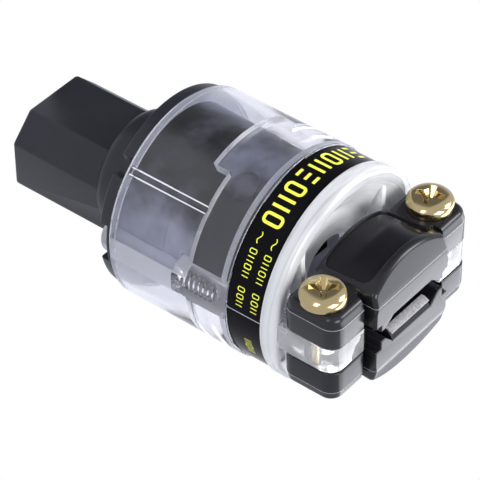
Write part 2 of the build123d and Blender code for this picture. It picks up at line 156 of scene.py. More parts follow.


# Painted shade on the core: darker toward one side and behind the barrel's shoulder, where no haze lies over
# it, and a painted pale patch of light under the index tab
def makeCoreShade(look):
    takes = ("Color", "Side Shade", "Rear Light", "Rear Shade", "Rear From")
    group, start, end = newGroup("coreShade", takes, ("Color",))
    where = addNode(group, "ShaderNodeTexCoord", (-1100, -300))
    flat = addVector(group, "MULTIPLY", (-900, -200), {1: (1, 1, 0)})
    ring = addVector(group, "NORMALIZE", (-700, -200))
    facing = addVector(group, "DOT_PRODUCT", (-500, -200), {1: (*polar(1, look["darkSide"]), 0)})
    ripple = addNode(group, "ShaderNodeTexNoise", (-700, -450), {"Scale": look["rippleSize"], "Detail": 3})
    uneven = addMath(group, "MULTIPLY_ADD", (-500, -450), {1: look["ripple"], 2: -look["ripple"] / 2})
    total = addMath(group, "ADD", (-350, -300))
    side = addNode(group, "ShaderNodeMapRange", (-200, -200), {
        "From Min": look["darkFrom"], "From Max": 1, "To Min": 1}, interpolation_type="SMOOTHSTEP")
    high = addNode(group, "ShaderNodeSeparateXYZ", (-700, -650))
    past = addMath(group, "GREATER_THAN", (-500, -650))
    rear = addNode(group, "ShaderNodeMapRange", (-200, -500), {"From Min": look["patchFrom"], "From Max": 1})
    tab = addVector(group, "DOT_PRODUCT", (-500, -800), {1: (*polar(1, look["tabMiddle"]), 0)})
    cloudy = addMath(group, "ADD", (-350, -800))
    onTab = addMath(group, "GREATER_THAN", (-350, -950), {1: math.cos(math.radians(look["tabHalf"]))})
    ahead = addMath(group, "MULTIPLY_ADD", (-200, -800), {1: look["tabAhead"] * mm})
    both = addNode(group, "ShaderNodeMix", (0, -300), data_type="FLOAT")
    tint = addVector(group, "SCALE", (300, 0))
    wire(group,
         (where, "Object", flat, 0), (flat, "Vector", ring, 0), (ring, "Vector", facing, 0),
         (where, "Object", ripple, "Vector"), (ripple, "Fac", uneven, 0),
         (facing, "Value", total, 0), (uneven, 0, total, 1), (total, 0, side, "Value"),
         (start, "Side Shade", side, "To Max"), (where, "Object", high, "Vector"),
         (ring, "Vector", tab, 0), (tab, "Value", onTab, 0), (onTab, 0, ahead, 0), (high, "Z", ahead, 2),
         (ahead, 0, past, 0), (start, "Rear From", past, 1),
         (tab, "Value", cloudy, 0), (uneven, 0, cloudy, 1), (cloudy, 0, rear, "Value"),
         (start, "Rear Light", rear, "To Max"), (start, "Rear Shade", rear, "To Min"),
         (past, 0, both, "Factor"), (side, "Result", both, "A"), (rear, "Result", both, "B"),
         (start, "Color", tint, 0), (both, 0, tint, "Scale"), (tint, "Vector", end, "Color"))
    return group


coreShade = makeCoreShade(paintedCoreShade)


# Pale hairline where the halves of a mould met, at one distance from the plane through the screws: a painted
# highlight along the parting line
def makeMouldLineHighlight(color):
    group, start, end = newGroup("mouldLineHighlight", ("Color", "Distance", "Half Width", "Strength"), ("Color",))
    where = addNode(group, "ShaderNodeTexCoord", (-900, -300))
    split = addNode(group, "ShaderNodeSeparateXYZ", (-700, -300))
    away = addMath(group, "ABSOLUTE", (-500, -300))
    near = addMath(group, "COMPARE", (-300, -300))
    share = addMath(group, "MULTIPLY", (-100, -300))
    pale = addNode(group, "ShaderNodeMix", (200, 0), {"B": (*color, 1)}, data_type="RGBA")
    wire(group,
         (where, "Object", split, "Vector"), (split, "Y", away, 0), (away, 0, near, 0),
         (start, "Distance", near, 1), (start, "Half Width", near, 2), (near, 0, share, 0),
         (start, "Strength", share, 1), (share, 0, pale, "Factor"), (start, "Color", pale, "A"),
         (pale, "Result", end, "Color"))
    return group


mouldLineHighlight = makeMouldLineHighlight((0.5, 0.5, 0.56))


# A material whose colour, roughness and bump come from the grain group
def grainMaterial(name, look):
    material, tree, shader = newMaterial(name)
    grain = addNode(tree, "ShaderNodeGroup", (-500, 100), {
        "Color": (*look["color"], 1), "Mottle": look["mottle"], "Mottle Size": look.get("mottleSize", 160),
        "Roughness": look["roughness"], "Unevenness": look["unevenness"], "Grain Size": look["grainSize"]},
        node_tree=mouldGrain)
    bump = addNode(tree, "ShaderNodeBump", (-250, -200), {
        "Strength": look["bump"], "Distance": look["grainDepth"]})
    if "edgeRadius" in look:
        edge = addNode(tree, "ShaderNodeBevel", (-450, -350), {"Radius": look["edgeRadius"]}, samples=8)
        wire(tree, (edge, "Normal", bump, "Normal"))
    tint = grain
    # Painted shade and light on the core
    if "sideShade" in look:
        tint = addNode(tree, "ShaderNodeGroup", (-250, 200), {
            "Side Shade": look["sideShade"], "Rear Light": look["rearLight"], "Rear Shade": look["rearShade"],
            "Rear From": look["rearFrom"]}, node_tree=coreShade)
        wire(tree, (grain, "Color", tint, "Color"))
    # A pale hairline along the mould line: a painted highlight
    if "lineAt" in look:
        tint = addNode(tree, "ShaderNodeGroup", (-250, 200), {
            "Distance": look["lineAt"] * mm, "Half Width": look["lineWidth"] / 2 * mm,
            "Strength": look["lineStrength"]}, node_tree=mouldLineHighlight)
        wire(tree, (grain, "Color", tint, "Color"))
    wire(tree, (tint, "Color", shader, "Base Color"), (grain, "Roughness", shader, "Roughness"),
         (grain, "Height", bump, "Height"), (bump, "Normal", shader, "Normal"))
    setValues(shader, {"Metallic": look.get("metallic", 0), "Specular IOR Level": look.get("specular", 0.5)})
    return material


# Finishes, some with painted light and shade: grain sizes are per metre and depths in metres, the mould
# line's painted highlight in millimetres
noseLook = {"color": (0.009, 0.009, 0.015), "mottle": 0.5, "roughness": 0.38, "unevenness": 0.12,
            "grainSize": 2600, "bump": 0.25, "grainDepth": 0.00005, "specular": 0.4}
# The core itself is black: its pale lavender grey paints the haze of reflections seen through the housing
coreLook = {"color": (0.3, 0.31, 0.385), "mottle": 1.3, "mottleSize": 150, "roughness": 0.35,
            "unevenness": 0.3, "sideShade": 0.015, "rearLight": 0.8, "rearShade": 0.04, "rearFrom": 0.051,
            "grainSize": 700, "bump": 0.06, "grainDepth": 0.00006, "specular": 0.1}
# Lighter copies of the core's grey: painted light on faces seen through the housing, brighter on faces turned
# toward +Z
paintedLightGreyLook = {"color": (0.42, 0.43, 0.51), "mottle": 0.8, "roughness": 0.3, "unevenness": 0.2,
            "grainSize": 700, "bump": 0.06, "grainDepth": 0.00006, "specular": 0.25}
paintedBrightGreyLook = dict(paintedLightGreyLook, color=(0.66, 0.67, 0.76))
clampLook = {"color": (0.010, 0.010, 0.013), "mottle": 0.5, "roughness": 0.2, "unevenness": 0.12,
             "grainSize": 900, "bump": 0.1, "grainDepth": 0.00004, "specular": 0.3, "edgeRadius": 0.00022,
             "lineAt": 7.7, "lineWidth": 0.14, "lineStrength": 0.5}
panelLook = {"color": (0.006, 0.006, 0.008), "mottle": 0.4, "roughness": 0.14, "unevenness": 0.08,
             "grainSize": 900, "bump": 0.1, "grainDepth": 0.00004, "specular": 0.15, "edgeRadius": 0.00022}
bandLook = {"color": (0.0035, 0.0035, 0.0045), "mottle": 0.4, "roughness": 0.12, "unevenness": 0.08,
            "grainSize": 500, "bump": 0.05, "grainDepth": 0.00003, "specular": 0.05}
printLook = {"color": (0.8, 0.83, 0.07), "mottle": 0.25, "mottleSize": 900, "roughness": 0.35,
             "unevenness": 0.1, "grainSize": 2500, "bump": 0.1, "grainDepth": 0.00002, "specular": 0.2}
ribLook = {"color": (0.38, 0.37, 0.4), "mottle": 1.9, "mottleSize": 2200, "roughness": 0.5, "unevenness": 0.3,
           "grainSize": 2600, "bump": 0.6, "grainDepth": 0.0001, "specular": 0.5}
goldLook = {"color": (0.45, 0.36, 0.19), "mottle": 0.35, "roughness": 0.15, "unevenness": 0.12,
            "grainSize": 1500, "bump": 0.2, "grainDepth": 0.00004, "metallic": 1, "edgeRadius": 0.00012}
steelLook = {"color": (0.36, 0.36, 0.38), "mottle": 1.2, "mottleSize": 600, "roughness": 0.18,
             "unevenness": 0.15, "grainSize": 1200, "bump": 0.15, "grainDepth": 0.00004, "metallic": 1}
brassLook = {"color": (0.72, 0.5, 0.24), "mottle": 0.3, "roughness": 0.3, "unevenness": 0.2,
             "grainSize": 1500, "bump": 0.15, "grainDepth": 0.00004, "metallic": 1}
bandBackLook = {"color": (0.75, 0.75, 0.78), "mottle": 0.2, "roughness": 0.5, "unevenness": 0.1,
                "grainSize": 600, "bump": 0.1, "grainDepth": 0.00003, "specular": 0.3}
darkScrewLook = {"color": (0.2, 0.19, 0.17), "mottle": 0.4, "roughness": 0.4, "unevenness": 0.2,
                 "grainSize": 1500, "bump": 0.2, "grainDepth": 0.00004, "metallic": 1}
looks = {"nose_black": noseLook, "core_black": coreLook, "clamp_black": clampLook, "band_black": bandLook,
         "gold_plate": goldLook, "screw_steel": steelLook, "contact_brass": brassLook,
         "bandPrint": printLook, "roughRib": ribLook, "bandBack": bandBackLook, "darkScrew": darkScrewLook,
         "panelBlack": panelLook, "paintedLightGrey": paintedLightGreyLook, "paintedBrightGrey": paintedBrightGreyLook}
materials = {slot: grainMaterial(slot, look) for slot, look in looks.items()}

clearLook = {"color": (0.935, 0.94, 0.965), "transmission": 1.0, "roughness": 0.02, "ior": 1.49,
             "waveSize": 110, "waveDepth": 0.0001, "waveBump": 0.2}
# Whiter, less clear copies of the clear plastic: painted light on the rear ring, the dish and the edges and
# steps of the housing
paintedLightRingLook = {"color": (0.96, 0.965, 0.99), "transmission": 0.5, "roughness": 0.04, "ior": 1.49,
             "waveSize": 110, "waveDepth": 0.00012, "waveBump": 0.4, "streak": 0.72}
paintedLightDishLook = dict(paintedLightRingLook, transmission=0.12, streak=0.9)
hazeLook = dict(clearLook, transmission=0.42)
earLook = dict(clearLook, color=(0.95, 0.95, 0.96), transmission=0.83, waveDepth=0.00015, waveBump=0.5)
paintedEdgeLightLook = {"color": (0.86, 0.87, 0.92), "transmission": 0.4, "roughness": 0.3, "ior": 1.49, "waveSize": 200,
             "waveDepth": 0.0001, "waveBump": 0.3}

# Painted reflections: darker streaks that run round the rear ring, where the thick clear plastic shows its
# surroundings in lines
paintedStreaks = {"size": 900, "drift": 0.0016, "darkAt": 0.32, "clearAt": 0.52}


def makeRingReflectionStreaks(look):
    group, start, end = newGroup("ringReflectionStreaks", ("Color", "Streak"), ("Color",))
    where = addNode(group, "ShaderNodeTexCoord", (-1300, -300))
    split = addNode(group, "ShaderNodeSeparateXYZ", (-1100, -300))
    flat = addVector(group, "MULTIPLY", (-1100, -500), {1: (1, 1, 0)})
    reach = addVector(group, "LENGTH", (-900, -500))
    turn = addVector(group, "NORMALIZE", (-900, -650))
    drift = addNode(group, "ShaderNodeSeparateXYZ", (-700, -650))
    slow = addMath(group, "MULTIPLY", (-500, -650), {1: look["drift"]})
    place = addNode(group, "ShaderNodeCombineXYZ", (-300, -400))
    lines = addNode(group, "ShaderNodeTexNoise", (-100, -300), {"Scale": look["size"], "Detail": 2})
    tone = addNode(group, "ShaderNodeMapRange", (100, -200), {
        "From Min": look["darkAt"], "From Max": look["clearAt"], "To Max": 1})
    tint = addVector(group, "SCALE", (300, 0))
    wire(group,
         (where, "Object", split, "Vector"), (where, "Object", flat, 0), (flat, "Vector", reach, 0),
         (flat, "Vector", turn, 0), (turn, "Vector", drift, "Vector"), (drift, "X", slow, 0),
         (reach, "Value", place, "X"), (split, "Z", place, "Y"), (slow, 0, place, "Z"),
         (place, "Vector", lines, "Vector"), (lines, "Fac", tone, "Value"), (start, "Streak", tone, "To Min"),
         (start, "Color", tint, 0), (tone, "Result", tint, "Scale"), (tint, "Vector", end, "Color"))
    return group


ringReflectionStreaks = makeRingReflectionStreaks(paintedStreaks)


def makeClearPlastic(name, look):
    material, tree, shader = newMaterial(name)
    setValues(shader, {"Base Color": (*look["color"], 1), "Transmission Weight": look["transmission"],
                       "IOR": look["ior"]})
    where = addNode(tree, "ShaderNodeTexCoord", (-900, 0))
    wave = addNode(tree, "ShaderNodeTexNoise", (-650, -100), {"Scale": look["waveSize"], "Detail": 1})
    spread = addNode(tree, "ShaderNodeMapRange", (-400, 150), {"To Min": look["roughness"] * 0.5,
                                                               "To Max": look["roughness"] * 1.5})
    bump = addNode(tree, "ShaderNodeBump", (-400, -150), {
        "Strength": look["waveBump"], "Distance": look["waveDepth"]})
    if "streak" in look:
        shade = addNode(tree, "ShaderNodeGroup", (-400, 400), {
            "Color": (*look["color"], 1), "Streak": look["streak"]}, node_tree=ringReflectionStreaks)
        wire(tree, (shade, "Color", shader, "Base Color"))
    wire(tree, (where, "Object", wave, "Vector"), (wave, "Fac", spread, "Value"),
         (spread, "Result", shader, "Roughness"), (wave, "Fac", bump, "Height"),
         (bump, "Normal", shader, "Normal"))
    return material


clearAndPaintedLightLooks = {"clear_plastic": clearLook, "paintedLightRing": paintedLightRingLook, "paintedEdgeLight": paintedEdgeLightLook,
              "paintedLightDish": paintedLightDishLook, "hazyBoss": hazeLook, "hazyEar": earLook}
for name, look in clearAndPaintedLightLooks.items():
    materials[name] = makeClearPlastic(name, look)


def smoothShade(mesh, angle=28):
    for face in mesh.polygons:
        face.use_smooth = True
    mesh.set_sharp_from_angle(angle=math.radians(angle))


for part in frame["record"]["subparts"]:
    cadNode = nodes[part["node"]]
    cadNode.data.materials.clear()
    cadNode.data.materials.append(materials[part["material_slot"]])
    smoothShade(cadNode.data)

# Faces of CAD nodes that show through the housing: channels and chambers of the cover, which take a painted
# light grey, and the band's inner side
seenThrough = {"channelFrom": 17.8, "chambersFrom": 59.9, "bandBackWithin": 20.6}
coverMesh = nodes["terminal_cover"].data
coverMesh.materials.append(materials["paintedLightGrey"])
for face in coverMesh.polygons:
    channel = math.hypot(face.center.x, face.center.y) > seenThrough["channelFrom"] * mm
    if channel or face.center.z > seenThrough["chambersFrom"] * mm:
        face.material_index = 1
bandMesh = nodes["label_band"].data
bandMesh.materials.append(materials["bandBack"])
for face in bandMesh.polygons:
    if math.hypot(face.center.x, face.center.y) < seenThrough["bandBackWithin"] * mm:
        face.material_index = 1
for pole in ("line", "neutral", "earth"):
    nodes[pole + "_terminal_screw"].data.materials[0] = materials["darkScrew"]
print("materials on", len(nodes), "nodes")


# Helpers for meshes, which are built in millimetres until dress() brings them to metres
def meshPiece(name, verts, faces):
    mesh = bpy.data.meshes.new(name)
    mesh.from_pydata(verts, [], faces)
    piece = bpy.data.objects.new(name, mesh)
    bpy.context.scene.collection.objects.link(piece)
    shape = bmesh.new()
    shape.from_mesh(mesh)
    bmesh.ops.remove_doubles(shape, verts=shape.verts, dist=0.0001)
    bmesh.ops.recalc_face_normals(shape, faces=shape.faces)
    shape.to_mesh(mesh)
    shape.free()
    return piece


# Closed outline from corners (x, y, radius), with an arc at each corner that has a radius
def roundCorners(corners, steps=6):
    outline = []
    for index, (x, y, radius) in enumerate(corners):
        corner = Vector((x, y))
        if radius == 0:
            outline.append(corner)
            continue
        before = (Vector(corners[index - 1][:2]) - corner).normalized()
        after = (Vector(corners[(index + 1) % len(corners)][:2]) - corner).normalized()
        half = before.angle(after) / 2
        centre = corner + (before + after).normalized() * (radius / math.sin(half))
        start = corner + before * (radius / math.tan(half)) - centre
        finish = corner + after * (radius / math.tan(half)) - centre
        sweep = start.angle(finish)
        for step in range(steps + 1):
            part = sweep * step / steps
            reach = start * math.sin(sweep - part) + finish * math.sin(part)
            outline.append(centre + reach / math.sin(sweep))
    return outline


def roundBox(left, low, right, high, radius, steps=6):
    corners = [(left, low, radius), (right, low, radius), (right, high, radius), (left, high, radius)]
    return roundCorners(corners, steps)


def circle(spot, radius, steps=48):
    return [Vector((spot[0] + radius * math.cos(2 * math.pi * step / steps),
                    spot[1] + radius * math.sin(2 * math.pi * step / steps))) for step in range(steps)]


def hexagon(spot, acrossFlats):
    reach = acrossFlats / 2 / math.cos(math.radians(30))
    return [(spot[0] + reach * math.sin(math.radians(60 * turn + 30)),
             spot[1] + reach * math.cos(math.radians(60 * turn + 30))) for turn in range(6)]


# A closed outline of (radius, height) turned about Z
def lathe(name, outline, steps=160):
    count = len(outline)
    verts = [(radius * math.cos(2 * math.pi * turn / steps), radius * math.sin(2 * math.pi * turn / steps),
              height) for turn in range(steps) for radius, height in outline]
    faces = [(turn * count + place, (turn + 1) % steps * count + place,
              (turn + 1) % steps * count + (place + 1) % count, turn * count + (place + 1) % count)
             for turn in range(steps) for place in range(count)]
    return meshPiece(name, verts, faces)


# A closed skin over rings of the same count, each at its own height along an axis
def skin(name, rings, axis="Z"):
    lay = {"X": lambda u, v, w: (w, u, v), "Y": lambda u, v, w: (u, w, v),
           "Z": lambda u, v, w: (u, v, w)}[axis]
    count = len(rings[0][0])
    verts = [lay(u, v, level) for outline, level in rings for u, v in outline]
    faces = [tuple(range(count)), tuple(range(len(verts) - count, len(verts)))]
    for ring in range(len(rings) - 1):
        for place in range(count):
            after = (place + 1) % count
            faces.append((ring * count + place, ring * count + after, (ring + 1) * count + after,
                          (ring + 1) * count + place))
    return meshPiece(name, verts, faces)


def prism(name, outline, low, high, axis="Z"):
    return skin(name, [(outline, low), (outline, high)], axis)


def bake(piece):
    bpy.context.view_layer.update()
    graph = bpy.context.evaluated_depsgraph_get()
    finished = bpy.data.meshes.new_from_object(piece.evaluated_get(graph))
    piece.modifiers.clear()
    piece.data = finished


def soften(piece, width, steps=3, angle=30, method="ANGLE"):
    edge = piece.modifiers.new("softEdge", "BEVEL")
    edge.width = width
    edge.segments = steps
    edge.limit_method = method
    edge.angle_limit = math.radians(angle)
    edge.use_clamp_overlap = False
    bake(piece)
    return piece


def combine(piece, others, operation):
    for other in others:
        step = piece.modifiers.new("combine", "BOOLEAN")
        step.object = other
        step.operation = operation
        step.solver = "EXACT"
        bake(piece)
        bpy.data.objects.remove(other)
    return piece


# One mesh out of several shells, for solid things that need no boolean
def joinShells(name, pieces):
    shape = bmesh.new()
    for piece in pieces:
        shape.from_mesh(piece.data)
        bpy.data.objects.remove(piece)
    mesh = bpy.data.meshes.new(name)
    shape.to_mesh(mesh)
    shape.free()
    joined = bpy.data.objects.new(name, mesh)
    bpy.context.scene.collection.objects.link(joined)
    return joined


def dress(piece, slot, body, replaced=(), angle=28):
    piece.data.transform(Matrix.Scale(mm, 4))
    piece.data.materials.clear()
    piece.data.materials.append(materials[slot])
    smoothShade(piece.data, angle)
    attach(piece, body)
    if replaced:
        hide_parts(*replaced)
    return piece


# Places that several pieces share: the clamp screws lie along Y and the assembly screws along Z
sides = {"left": -1, "right": 1}
clampAt = {"x": 16.06, "seat": -10.0, "z": 79.0, "spin": {"left": 20, "right": 38}}
assemblyAt = {"x": 17.0, "seat": 31.7}

# Nose, boss, flange and the front half of the core
nose = {"halfWidth": 12.0, "halfHeight": 7.75, "chamfer": 5.2, "corner": 1.0, "endRound": 0.6,
        "bossRadius": 12.6, "bossFrom": 20.3, "bossRound": 2.8, "flangeRadius": 21.0, "flangeFrom": 29.7,
        "flangeTo": 32.3, "flangeRound": 0.5, "coreRadius": 17.65, "coreTo": 43.1, "coreRound": 0.25,
        "screwHole": 1.65, "screwLobe": 2.6, "pocketRadius": 4.35, "pocketDepth": 2.0,
        "keyAngle": 315, "keyRadius": 2.05, "slot": (2.6, 4.6), "slotDepth": 1.6, "slotRound": 0.2,
        "cavity": (3.7, 5.7), "cavityTo": 40.0, "poles": ((7, 2), (-7, 2), (0, -2))}


def makeNose(look):
    wide, tall, cut, corner = look["halfWidth"], look["halfHeight"], look["chamfer"], look["corner"]
    outline = roundCorners([(-wide, tall, corner), (wide, tall, corner), (wide, cut - tall, corner),
                            (wide - cut, -tall, corner), (cut - wide, -tall, corner),
                            (-wide, cut - tall, corner)])
    body = soften(prism("connectorNose", outline, 0, look["flangeFrom"] + 1), look["endRound"], 4, 60)
    boss = lathe("boss", roundCorners([
        (0, look["bossFrom"], 0), (look["bossRadius"], look["bossFrom"], look["bossRound"]),
        (look["bossRadius"], look["flangeFrom"] + 1, 0), (0, look["flangeFrom"] + 1, 0)], 10))
    flange = lathe("flange", roundCorners([
        (0, look["flangeFrom"], 0), (look["flangeRadius"], look["flangeFrom"], look["flangeRound"]),
        (look["flangeRadius"], look["flangeTo"], look["flangeRound"] / 2),
        (look["coreRadius"], look["flangeTo"], 0),
        (look["coreRadius"], look["coreTo"], look["coreRound"]), (0, look["coreTo"], 0)], 5))
    lobes = [prism("screwLobe", circle((side * assemblyAt["x"], 0), look["screwLobe"]),
                   look["flangeTo"] - 0.5, look["coreTo"]) for side in (-1, 1)]
    combine(body, [boss, flange, *lobes], "UNION")
    cuts = []
    seat = look["flangeFrom"] + look["pocketDepth"]
    for side in (-1, 1):
        spot = (side * assemblyAt["x"], 0)
        reach = side * (look["flangeRadius"] + 2)
        pocket = [(spot[0] + look["pocketRadius"] * math.sin(math.radians(angle)) * -side,
                   look["pocketRadius"] * math.cos(math.radians(angle))) for angle in range(0, 181, 6)]
        pocket += [(reach, -look["pocketRadius"]), (reach, look["pocketRadius"])]
        cuts.append(prism("pocket", pocket, look["flangeFrom"] - 3, seat))
        cuts.append(prism("screwHole", circle(spot, look["screwHole"]), seat - 1, look["coreTo"] + 1))
    cuts.append(prism("keyNotch", circle(polar(look["flangeRadius"], look["keyAngle"]), look["keyRadius"]),
                      look["flangeFrom"] - 1, look["flangeTo"] + 0.1))
    for x, y in look["poles"]:
        for (wide, tall), low, high in ((look["slot"], -1, look["slotDepth"] + 0.1),
                                        (look["cavity"], look["slotDepth"], look["cavityTo"])):
            outline = roundBox(x - wide / 2, y - tall / 2, x + wide / 2, y + tall / 2, look["slotRound"], 3)
            cuts.append(prism("slot", outline, low, high))
    combine(body, cuts, "DIFFERENCE")
    dress(body, "nose_black", "connector", ["connector_body"])
    # Behind the flange the core takes its painted shade, the screw lobes a painted light grey and their faces
    # toward +Z a brighter painted grey
    for name in ("core_black", "paintedLightGrey", "paintedBrightGrey"):
        body.data.materials.append(materials[name])
    for face in body.data.polygons:
        if face.center.z > (look["flangeTo"] - 0.05) * mm:
            past = math.hypot(face.center.x, face.center.y) > (look["coreRadius"] + 0.1) * mm
            face.material_index = (3 if face.normal.z > 0.9 else 2) if past else 1


makeNose(nose)
print("nose made")

# Clear housing: a turned shell, joined with bosses, index tab, key rib, ears and webs
housing = {"radius": 21.85, "bore": 20.4, "rearBore": 17.8, "front": 32.3, "frontChamfer": 0.9, "step": 51.0,
           "rim": 72.2, "rimRound": 1.2, "innerRimRound": 0.6, "rimInside": 19.35, "grooveFrom": 61.0,
           "grooveTo": 68.9, "grooveRadius": 20.45, "dishFloor": 67.8, "dishFloorRadius": 12.45,
           "dishWall": 2.4, "cableHole": 6.5, "bossRadius": 3.9, "bossFrom": 47.5, "bossHole": 1.55,
           "bossHoleTo": 58.4, "bossGap": 0.4, "bossRound": 0.3, "tapPitch": 1.1, "tapDepth": 0.35,
           "tapTip": 0.8, "tabFrom": 47.2, "tabAngles": (237, 292), "tabFlare": 0.7, "join": 0.5,
           "ribAngle": 315, "ribRadius": 0.9, "ribFrom": 33.0, "earInner": 11.5, "earOuter": 20.7,
           "earHalf": 2.9, "earTop": 85.0, "earCorner": 3.0, "earRound": 0.35, "webThickness": 1.2,
           "webTo": 71.4, "webRound": 0.15, "clampHole": 2.25, "paintedLightFrom": 69.0, "paintedLightInside": 62.0,
           "near": 0.1, "level": 0.05, "edgeLightBands": ((61.0, 59.9), (58.9, 57.7)), "frontLine": (34.0, 33.7)}


def makeHousing(look):
    inside = look["dishFloor"] - look["dishWall"]
    outline = roundCorners([
        (look["bore"], look["front"], 0.2), (look["radius"] - look["frontChamfer"], look["front"], 0.12),
        (look["radius"], look["front"] + look["frontChamfer"], 0.12),
        (look["radius"], look["grooveFrom"], 0.2), (look["grooveRadius"], look["grooveFrom"], 0),
        (look["grooveRadius"], look["grooveTo"], 0), (look["radius"], look["grooveTo"], 0.2),
        (look["radius"], look["rim"], look["rimRound"]),
        (look["rimInside"], look["rim"], look["innerRimRound"]),
        (look["dishFloorRadius"], look["dishFloor"], 3), (look["cableHole"], look["dishFloor"], 0.4),
        (look["cableHole"], inside, 0.4), (look["dishFloorRadius"], inside, 2),
        (look["rearBore"], inside - look["dishWall"], 0.8),
        *[(look["rearBore"], height, 0) for band in look["edgeLightBands"] for height in band],
        (look["rearBore"], look["step"], 0.3), (look["bore"], look["step"], 0),
        *[(look["bore"], height, 0) for height in look["frontLine"]]], 6)
    body = lathe("clearHousingShell", outline)
    parts = []
    for side in (-1, 1):
        spot = (side * assemblyAt["x"], 0)
        boss = prism("boss", circle(spot, look["bossRadius"]), look["bossFrom"],
                     look["grooveFrom"] - look["bossGap"])
        parts.append(soften(boss, look["bossRound"], 3, 60))
        inner, outer = side * look["earInner"], side * look["earOuter"]
        ear = roundCorners([(inner, look["dishFloor"] - 1, 0), (outer, look["dishFloor"] - 1, 0),
                            (outer, look["earTop"], look["earCorner"]), (inner, look["earTop"], 0)], 8)
        parts.append(soften(prism("ear", ear, -look["earHalf"], look["earHalf"], "Y"), look["earRound"], 3))
        x = side * (look["earInner"] + look["webThickness"] / 2)
        webSide = look["earInner"] + look["webThickness"]
        reach = math.sqrt((look["radius"] - look["rimRound"]) ** 2 - webSide ** 2)
        web = roundBox(x - look["webThickness"] / 2, -reach, x + look["webThickness"] / 2, reach, 0)
        web = prism("web", web, look["dishFloor"] - look["webThickness"], look["webTo"])
        parts.append(soften(web, look["webRound"], 2))
    first, last = look["tabAngles"]
    angles = [first + (last - first) * step / 24 for step in range(25)]
    tab = [polar(look["rearBore"], angle) for angle in angles]
    tab += [polar(look["bore"] + look["tabFlare"], angle) for angle in reversed(angles)]
    parts.append(prism("indexTab", tab, look["tabFrom"], look["step"] + look["join"]))
    parts.append(prism("keyRib", circle(polar(look["bore"], look["ribAngle"]), look["ribRadius"], 24),
                       look["ribFrom"], look["step"] + look["join"]))
    combine(body, parts, "UNION")
    cuts = []
    for side in (-1, 1):
        turns = int((look["bossHoleTo"] - look["bossFrom"]) / look["tapPitch"])
        wall = [(look["bossHole"] + look["tapDepth"] * (half % 2),
                 look["bossFrom"] + look["tapPitch"] * half / 2) for half in range(2 * turns)]
        tap = lathe("bossHole", [(0, look["bossFrom"] - 1), (look["bossHole"], look["bossFrom"] - 1), *wall,
                                 (0, wall[-1][1] + look["tapTip"])], 32)
        tap.data.transform(Matrix.Translation((side * assemblyAt["x"], 0, 0)))
        cuts.append(tap)
        hole = circle((side * clampAt["x"], clampAt["z"]), look["clampHole"])
        cuts.append(prism("clampHole", hole, -5, 5, "Y"))
    combine(body, cuts, "DIFFERENCE")
    dress(body, "clear_plastic", "connector", ["clear_housing"])
    finishesAndPaintedLight = list(clearAndPaintedLightLooks)
    for name in finishesAndPaintedLight[1:]:
        body.data.materials.append(materials[name])
    for face in body.data.polygons:
        x, y, z = (value / mm for value in face.center)
        face.material_index = finishesAndPaintedLight.index(housingFinishAndPaintedLight(look, x, y, z))


# Which finish a face of the housing has, by where its middle lies; its edges, rear ring and dish take whiter,
# less clear copies of the plastic that paint the bright light seen there
def housingFinishAndPaintedLight(look, x, y, z):
    reach, angle = math.hypot(x, y), math.degrees(math.atan2(y, x)) % 360
    onTab = look["tabAngles"][0] < angle < look["tabAngles"][1] + 1
    near, level = look["near"], look["level"]
    inWall = look["rearBore"] - near < reach < look["bore"] + near
    inside = look["dishFloor"] - look["dishWall"]
    paintedEdge = (
        any(low < z < high for high, low in look["edgeLightBands"]) and abs(reach - look["rearBore"]) < near,
        reach < look["rearBore"] and look["grooveFrom"] < z < inside + near,
        abs(z - look["step"]) < level and inWall and not onTab,
        abs(z - look["tabFrom"]) < level and inWall and onTab,
        abs(angle - look["tabAngles"][1]) < 0.3 and inWall and z < look["step"],
        z < look["front"] + look["frontChamfer"] and reach > look["radius"] - look["frontChamfer"],
        look["frontLine"][1] < z < look["frontLine"][0] and abs(reach - look["bore"]) < near)
    if any(paintedEdge):
        return "paintedEdgeLight"
    if z > look["rim"] + 0.5:
        return "hazyEar"
    if look["dishFloor"] - near < z < look["rim"] - 0.4 and reach < look["rimInside"] + 0.3:
        return "paintedLightDish"
    if z < look["grooveFrom"] and 3 < math.hypot(abs(x) - assemblyAt["x"], y) < look["bossRadius"] + level:
        return "hazyBoss"
    if look["paintedLightFrom"] < z < look["rim"] + near or (
            reach < look["rimInside"] + 0.2 and look["paintedLightInside"] < z < look["rim"]):
        return "paintedLightRing"
    return "clear_plastic"


makeHousing(housing)
print("housing made")


# A screw along Z with its head up, its seat at height 0, a crossed recess and a real thread
screwForm = {"headEdge": 0.15, "sideHeight": 1.0, "armFlare": 2.1, "pit": (0.35, 0.3), "around": 36,
             "rowsPerTurn": 8, "flank": 1.4, "tipRows": 6, "tipDrop": 0.5}
clampScrew = dict(screwForm, headRadius=4.6, headHeight=2.88, domePower=0.62, armHalf=0.75, armReach=3.2,
                  recessDepth=1.8, threadRadius=2.0, threadDepth=0.32, pitch=0.7, length=23.0)
assemblyScrew = dict(screwForm, headRadius=4.0, headHeight=2.4, domePower=0.6, armHalf=0.5, armReach=2.2,
                     recessDepth=1.7, threadRadius=1.5, threadDepth=0.35, pitch=1.1, length=18.0, spin=12)


